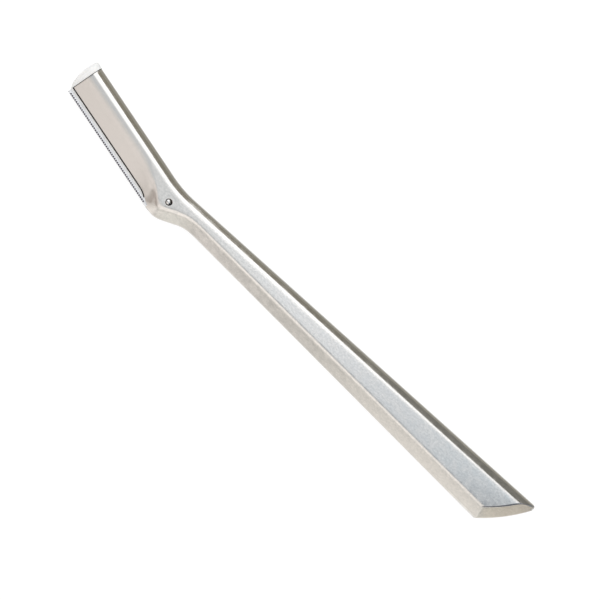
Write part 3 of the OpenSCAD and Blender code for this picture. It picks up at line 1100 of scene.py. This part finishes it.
def painted_shadow_steel():
    """Near-black painted shadow for the casting's cut walls, the ledge under the lip and the
    mouth's rim.
    """
    tones = ((0.02, 0.018, 0.017), (0.055, 0.045, 0.04))
    material, tree, surface = metal("painted_shadow_steel", tones, size=0.25)
    set_inputs(surface, {"Roughness": 0.6})
    relief(tree, surface, noise(tree, size=0.08), depth=0.006)
    return material


def polished_steel():
    return lined_metal("polished_steel", tones=((0.66, 0.655, 0.65), (0.74, 0.735, 0.725)),
                       clouds=0.3, lines=0.05, stretch=(1, 0.1, 1), rough=(0.05, 0.12),
                       depth=0.0006, turn=radians(35), detail=3.0)


# White plastic: its tone follows the mould's flow lines a little, and mostly the height, with
# painted shade darkening its lower parts
PLASTIC_TONES = ((0.75, 0.755, 0.74), (0.935, 0.935, 0.925))
PLASTIC_ROUGH = (0.28, 0.31)
PLASTIC_GLOW = {"IOR": 1.49, "Subsurface Weight": 0.25, "Subsurface Radius": (1.0, 0.95, 0.9),
                "Subsurface Scale": 0.0006}
FLOW = {"size": 1.1, "detail": 3.0, "stretch": (0.5, 1, 1), "turn": radians(30)}
FLOW_SHARE = 0.1
# Painted shade: the tone's share by height, and the heights over which it goes
HEIGHT_SHADE = (0.04, 0.94)
HEIGHT_SHADE_Z = (0.0026, 0.0038)


def white_plastic():
    """Glossy moulding that takes in a little light."""
    material, tree, surface = new_material("white_plastic")
    flow = noise(tree, **FLOW)
    flow_and_shade = joined(tree, "ADD", span(tree, flow, 0, FLOW_SHARE),
                   along(tree, "Z", *HEIGHT_SHADE, *HEIGHT_SHADE_Z))
    tone(tree, surface, flow_and_shade, PLASTIC_TONES, 0.0, 1.0)
    roughen(tree, surface, flow, PLASTIC_ROUGH)
    set_inputs(surface, PLASTIC_GLOW)
    relief(tree, surface, noise(tree, size=0.8), depth=0.0002)
    return material


def blade_steel():
    """Rolled strip, with fine lines along it."""
    return lined_metal("blade_steel", tones=((0.60, 0.61, 0.63), (0.70, 0.71, 0.73)), clouds=0.9,
                       lines=0.06, stretch=(0.05, 1, 1), rough=(0.18, 0.3), depth=0.0008)


def painted_shade_edge():
    """Edge ground across, painted dark as the shade seen through the guard's slots."""
    return lined_metal("painted_shade_edge", tones=((0.05, 0.045, 0.065), (0.10, 0.09, 0.12)), clouds=0.3,
                       lines=0.04, stretch=(1, 0.06, 1), rough=(0.3, 0.45), depth=0.001)


def guard_foil():
    """Bright pressed foil, drawn along the edge."""
    return lined_metal("guard_foil", tones=((0.925, 0.935, 0.955), (0.955, 0.965, 0.985)),
                       clouds=0.5, lines=0.07, stretch=(0.1, 1, 1), rough=(0.16, 0.26),
                       depth=0.0008, metallic=0.5)


# Camera: straight above, turned as the photograph is
VIEW_TURN = radians(41.91)
VIEW_CENTRE = Vector((0.0001, 0.00056, 0))
VIEW_W = 0.1456
LENS = 300.0
SENSOR = 36.0
CLIP_END = 100


def add_camera():
    data = bpy.data.cameras.new("camera")
    data.lens = LENS
    data.sensor_width = SENSOR
    data.clip_end = CLIP_END
    camera = add_object("camera", data)
    camera.location = VIEW_CENTRE + Vector((0, 0, VIEW_W * LENS / SENSOR))
    camera.rotation_euler = (0, 0, VIEW_TURN)
    bpy.context.scene.camera = camera


def add_sheet(name, corners, material):
    """One flat face with that material."""
    mesh = bpy.data.meshes.new(name)
    mesh.from_pydata(corners, [], [tuple(range(len(corners)))])
    mesh.materials.append(material)
    return add_object(name, mesh)


def oblong(x0, y0, x1, y1, z):
    """Corners of a level rectangle."""
    return [(x0, y0, z), (x1, y0, z), (x1, y1, z), (x0, y1, z)]


def add_card(name, corners, color, strength=1.0):
    """Flat panel of light, or a dark flag, which the camera doesn't see."""
    material = bpy.data.materials.new(name)
    material.use_nodes = True
    tree = material.node_tree
    tree.nodes.clear()
    glow = add_node(tree, "Emission", {"Color": (*color, 1), "Strength": strength})
    add_node(tree, "OutputMaterial", {"Surface": glow.outputs[0]})
    card = add_sheet(name, corners, material)
    card.visible_camera = False
    return card


# The floor glows over its matt finish: for the camera, and less where it is mirrored
FLOOR_HALF = 3.0
FLOOR_Z = -0.00002
FLOOR_FINISH = {"Base Color": (0.86, 0.86, 0.86, 1), "Roughness": 0.9, "Specular IOR Level": 0.0}
FLOOR_GLOW_SHARE = 0.7
FLOOR_GLOW = 1.2
FLOOR_MIRRORED = 0.96


def add_floor():
    """Plain pale floor: white to the eye and in reflections, and a plain matt floor otherwise."""
    material, tree, surface = new_material("floor")
    set_inputs(surface, FLOOR_FINISH)
    rays = add_node(tree, "LightPath", {}).outputs
    seen = rays["Is Camera Ray"]
    for other in ("Is Glossy Ray", "Is Transmission Ray"):
        seen = joined(tree, "MAXIMUM", seen, rays[other])
    share = span(tree, seen, 0.0, FLOOR_GLOW_SHARE)
    level = span(tree, rays["Is Camera Ray"], FLOOR_MIRRORED, FLOOR_GLOW)
    glow = add_node(tree, "Emission", {"Color": (1, 1, 1, 1), "Strength": level})
    sides = {"Fac": share, 1: surface.outputs[0], 2: glow.outputs[0]}
    blend = add_node(tree, "MixShader", sides)
    set_inputs(tree.nodes["Material Output"], {"Surface": blend.outputs[0]})
    corners = oblong(-FLOOR_HALF, -FLOOR_HALF, FLOOR_HALF, FLOOR_HALF, FLOOR_Z)
    floor = add_sheet("floor", corners, material)


# The studio's panels hang over the razor, each a strip along it. Their places are in metres in
# the frame's own X, towards the butt, and Y, towards the spine. A strip's colours are its stops
# along X.
TOP_Z = 0.215
CEILING_Z = TOP_Z + 0.01
CEILING_HALF = 2
FAR = 0.8
FLAG_Z = 0.0002
SKIRT_Y = -0.55
HEAD_X = -0.35
BUTT_END_X = 0.45
WORLD_COLOR = (0.9, 0.9, 0.9, 1)
WHITE = (1.0, 1.0, 1.0)
NIGHT = (0.24, 0.26, 0.28)
WARM_DARK = (0.46, 0.395, 0.36)
BUTT_DARK = (0.07, 0.08, 0.11)
FACET_LIGHT = [
    (-0.16, NIGHT), (-0.1, (0.66, 0.68, 0.7)), (-0.065, (0.69, 0.7, 0.71)),
    (-0.04, (0.85, 0.88, 0.91)), (-0.018, (0.98, 1.02, 1.06)), (0.005, (1.02, 1.06, 1.11)),
    (0.045, (0.82, 0.87, 0.93)), (0.066, (0.75, 0.82, 0.88)), (0.09, (0.89, 0.97, 1.05)),
    (0.135, (1.02, 1.1, 1.18)), (0.155, BUTT_DARK)]
LINE_LIGHT = [
    (-0.16, NIGHT), (-0.1, (0.63, 0.655, 0.69)), (-0.065, (0.66, 0.68, 0.71)),
    (-0.045, (0.63, 0.635, 0.64)), (-0.033, (0.52, 0.54, 0.56)), (0.005, (0.46, 0.48, 0.505)),
    (0.045, (0.48, 0.51, 0.54)), (0.066, (0.43, 0.46, 0.5)), (0.11, (0.38, 0.41, 0.44)),
    (0.15, BUTT_DARK)]
RIDGE_LIGHT = [
    (-0.3, WARM_DARK), (-0.14, (0.66, 0.64, 0.62)), (-0.08, (0.76, 0.74, 0.72)),
    (-0.055, (0.82, 0.79, 0.765)), (-0.033, (1.05, 1.0, 0.965)), (-0.017, (1.15, 1.1, 1.06)),
    (0.005, (0.95, 0.91, 0.875)), (0.05, (0.97, 0.93, 0.9)), (0.08, (0.98, 0.94, 0.91)),
    (0.16, BUTT_DARK)]
PLATE_LIGHT = [
    (-0.34, WARM_DARK), (-0.2, (0.65, 0.59, 0.555)), (-0.12, (0.84, 0.785, 0.75)),
    (-0.085, (0.88, 0.82, 0.79)), (-0.05, (0.97, 0.92, 0.88)), (-0.03, (1.1, 1.05, 1.01)),
    (0.07, (1.04, 1.0, 0.96)), (0.16, BUTT_DARK)]
LOW_LIGHT = [
    (-0.36, (0.64, 0.575, 0.53)), (-0.3, (0.43, 0.375, 0.345)), (-0.24, (0.5, 0.45, 0.415)),
    (-0.15, (0.58, 0.535, 0.5)), (-0.1, (0.74, 0.69, 0.65)), (-0.05, (0.82, 0.785, 0.745)),
    (0.4, (0.8, 0.78, 0.73))]
OUTER_LIGHT = [
    (-0.34, (0.8, 0.745, 0.7)), (-0.16, (0.84, 0.79, 0.75)), (-0.05, (0.8, 0.765, 0.725)),
    (0.4, (0.8, 0.78, 0.73))]
# Name, inner and outer Y, and stops
STRIPS = [
    ("panel_facet", 0.008, -0.01, FACET_LIGHT), ("panel_line", -0.01, -0.042, LINE_LIGHT),
    ("panel_ridge", -0.042, -0.072, RIDGE_LIGHT), ("panel_plate", -0.072, -0.21, PLATE_LIGHT),
    ("panel_low", -0.21, -0.37, LOW_LIGHT), ("panel_outer", -0.37, SKIRT_Y, OUTER_LIGHT)]

# Spine side: the strip's inner and outer Y, and its levels along X
BRIGHT = [
    (0.008, 0.022, (0.82, 0.95, 1.04, 0.93, 0.88)), (0.022, 0.042, (0.96, 1.05, 1.18, 1.08, 1.1)),
    (0.042, 0.075, (1.19, 1.2, 1.28, 1.26, 1.26))]
BRIGHT_X = (-0.065, -0.035, -0.014, 0.045, 0.066)
BRIGHT_FROM_X = -0.3
BRIGHT_TINT = (0.985, 1.0, 1.02)
BRIGHT_FAR = 1.5
# Where the bright panels end towards the butt and the dark flag begins
FLAG_EDGE = [
    (0.35, 0.025), (0.2, 0.045), (0.12, 0.07), (0.064, 0.0985), (0.047, 0.1185), (0.0, 0.197),
    (-0.0175, 0.232), (-0.033, 0.248), (-0.046, 0.262), (-0.06, FAR)]
FLAG_LIGHT = [
    (-0.06, (0.29, 0.26, 0.21)), (-0.02, (0.265, 0.245, 0.2)), (0.0, (0.245, 0.23, 0.19)),
    (0.045, (0.21, 0.205, 0.185)), (0.35, (0.19, 0.19, 0.175))]
# Low flag beside the spine, over the floor
LOW_FLAG_COLOR = (0.36, 0.345, 0.3)
LOW_FLAG = [
    (0.35, 0.0048), (-0.038, 0.0048), (-0.0445, 0.0052), (-0.0726, 0.0123), (-0.12, 0.0243),
    (-0.6, 0.2), (-0.6, FAR), (0.35, FAR)]

# Skirt along the blade side
SKIRT_END_X = 1.0
SKIRT_LIGHT = [
    (HEAD_X, (0.85, 0.8, 0.75)), (-0.15, (0.93, 0.88, 0.84)), (-0.09, (0.78, 0.74, 0.71)),
    (-0.04, (0.56, 0.54, 0.515)), (-0.012, (0.6, 0.58, 0.545)), (0.05, (0.73, 0.71, 0.665)),
    (0.14, (0.78, 0.76, 0.715)), (0.19, (0.9, 0.88, 0.83)), (0.27, (0.78, 0.76, 0.715)),
    (BUTT_END_X, (0.76, 0.745, 0.69))]
# Upright cards: name, its two ends in plan, colour and top. The neck's stands before the skirt.
NECK_Y = SKIRT_Y + 0.002
HEAD_WALLS = [
    ("dark_head", (HEAD_X, -0.06), (HEAD_X, 0.6), NIGHT, CEILING_Z),
    ("warm_head", (HEAD_X, -0.3), (HEAD_X, -0.06), WARM_DARK, TOP_Z),
    ("skirt_head", (HEAD_X, SKIRT_Y), (HEAD_X, -0.3), (0.82, 0.77, 0.73), TOP_Z)]
NECK_AND_BUTT_WALLS = [
    ("skirt_neck", (-0.25, NECK_Y), (0.2, NECK_Y), (1.08, 1.03, 0.985), 0.1),
    ("skirt_corner", (BUTT_END_X, SKIRT_Y), (BUTT_END_X, -0.36), (0.7, 0.655, 0.575), TOP_Z),
    ("skirt_butt", (BUTT_END_X, -0.36), (BUTT_END_X, -0.2), (0.585, 0.54, 0.47), TOP_Z)]
# Dark flag over the butt: its lowest X and Y, and its highest
FLAG_BUTT = (0.15, -0.2, BUTT_END_X, 0.03)


def colored_by_x(card, stops):
    """Makes the card's colour follow X through the stops."""
    start, end = stops[0][0], stops[-1][0]
    tree = card.data.materials[0].node_tree
    ramp = add_node(tree, "ValToRGB", {"Fac": along(tree, "X", 0.0, 1.0, start, end)})
    ramp.color_ramp.interpolation = "EASE"
    elements = ramp.color_ramp.elements
    for x, color in stops[1:-1]:
        elements.new((x - start) / (end - start)).color = (*color, 1)
    elements[0].color = (*stops[0][1], 1)
    elements[-1].color = (*stops[-1][1], 1)
    set_inputs(tree.nodes["Emission"], {"Color": ramp.outputs["Color"]})


def add_strip(name, inner, outer, stops):
    """Overhead panel between two Y."""
    corners = oblong(stops[0][0], inner, stops[-1][0], outer, TOP_Z)
    colored_by_x(add_card(name, corners, WHITE), stops)


def only_reflected(card):
    card.visible_diffuse = False
    card.visible_shadow = False
    return card


def wall(name, a, b, color, top=TOP_Z):
    """Upright card between two places of the plan."""
    corners = [(*a, 0.0), (*b, 0.0), (*b, top), (*a, top)]
    return only_reflected(add_card(name, corners, color))


def flag_x(y):
    """Where the bright panels end at that Y."""
    for (x0, y0), (x1, y1) in zip(FLAG_EDGE, FLAG_EDGE[1:]):
        if y <= y1:
            return mix(x0, x1, clamp((y - y0) / (y1 - y0)))
    return FLAG_EDGE[-1][0]


def add_bright_strips():
    """Bright panels beside the facet's, each with its levels along X."""
    for inner, outer, levels in BRIGHT:
        tinted = [tuple(level * tint for tint in BRIGHT_TINT) for level in levels]
        stops = [(BRIGHT_FROM_X, WHITE), *zip(BRIGHT_X, tinted), (flag_x(outer), tinted[-1])]
        add_strip("panel_bright", inner, outer, stops)


def add_bright_far():
    """Bright panels further out, which end at the flag's slanted edge."""
    nearest = BRIGHT[-1][1]
    bounds = [nearest] + [y for x, y in FLAG_EDGE if y > nearest]
    for inner, outer in zip(bounds, bounds[1:]):
        plan = [(BRIGHT_FROM_X, inner), (flag_x(inner), inner), (flag_x(outer), outer),
                (BRIGHT_FROM_X, outer)]
        add_card("panel_bright", [(x, y, TOP_Z) for x, y in plan], WHITE, BRIGHT_FAR)


def add_flags():
    for a, b in zip(FLAG_EDGE, FLAG_EDGE[1:]):
        colored_by_x(wall("flag", a, b, WHITE), FLAG_LIGHT)
    ceiling = oblong(-CEILING_HALF, -CEILING_HALF, CEILING_HALF, CEILING_HALF, CEILING_Z)
    only_reflected(add_card("dark_ceiling", ceiling, NIGHT))
    low = [(x, y, FLAG_Z) for x, y in LOW_FLAG]
    only_reflected(add_card("flag_low", low, LOW_FLAG_COLOR))


def add_walls():
    for card in HEAD_WALLS:
        wall(*card)
    only_reflected(add_card("flag_butt", oblong(*FLAG_BUTT, TOP_Z), BUTT_DARK))
    skirt = wall("skirt", (HEAD_X, SKIRT_Y), (SKIRT_END_X, SKIRT_Y), WHITE)
    colored_by_x(skirt, SKIRT_LIGHT)
    for card in NECK_AND_BUTT_WALLS:
        wall(*card)


def add_studio():
    world = bpy.data.worlds.new("studio")
    bpy.context.scene.world = world
    world.use_nodes = True
    set_inputs(world.node_tree.nodes["Background"], {"Color": WORLD_COLOR})
    for strip in STRIPS:
        add_strip(*strip)
    add_bright_strips()
    add_bright_far()
    add_flags()
    add_walls()


steel = satin_steel()
white = white_plastic()
dress(build_casting(), "handle", "handle_casting", "satin_steel", steel, painted_shadow_steel())
dress(build_pin(), "handle", "retaining_pin", "polished_steel", polished_steel())
dress(build_moulding(), "cartridge", "cartridge_carrier", "white_plastic", white)
dress(build_clamp(), "cartridge", "blade_clamp", "white_plastic", white)
dress(build_blade(), "cartridge", "blade", "blade_steel", blade_steel(), painted_shade_edge())
dress(build_guard(), "cartridge", "guard_comb", "guard_foil", guard_foil())

add_camera()
add_floor()
add_studio()
bpy.context.scene.view_settings.view_transform = "Standard"
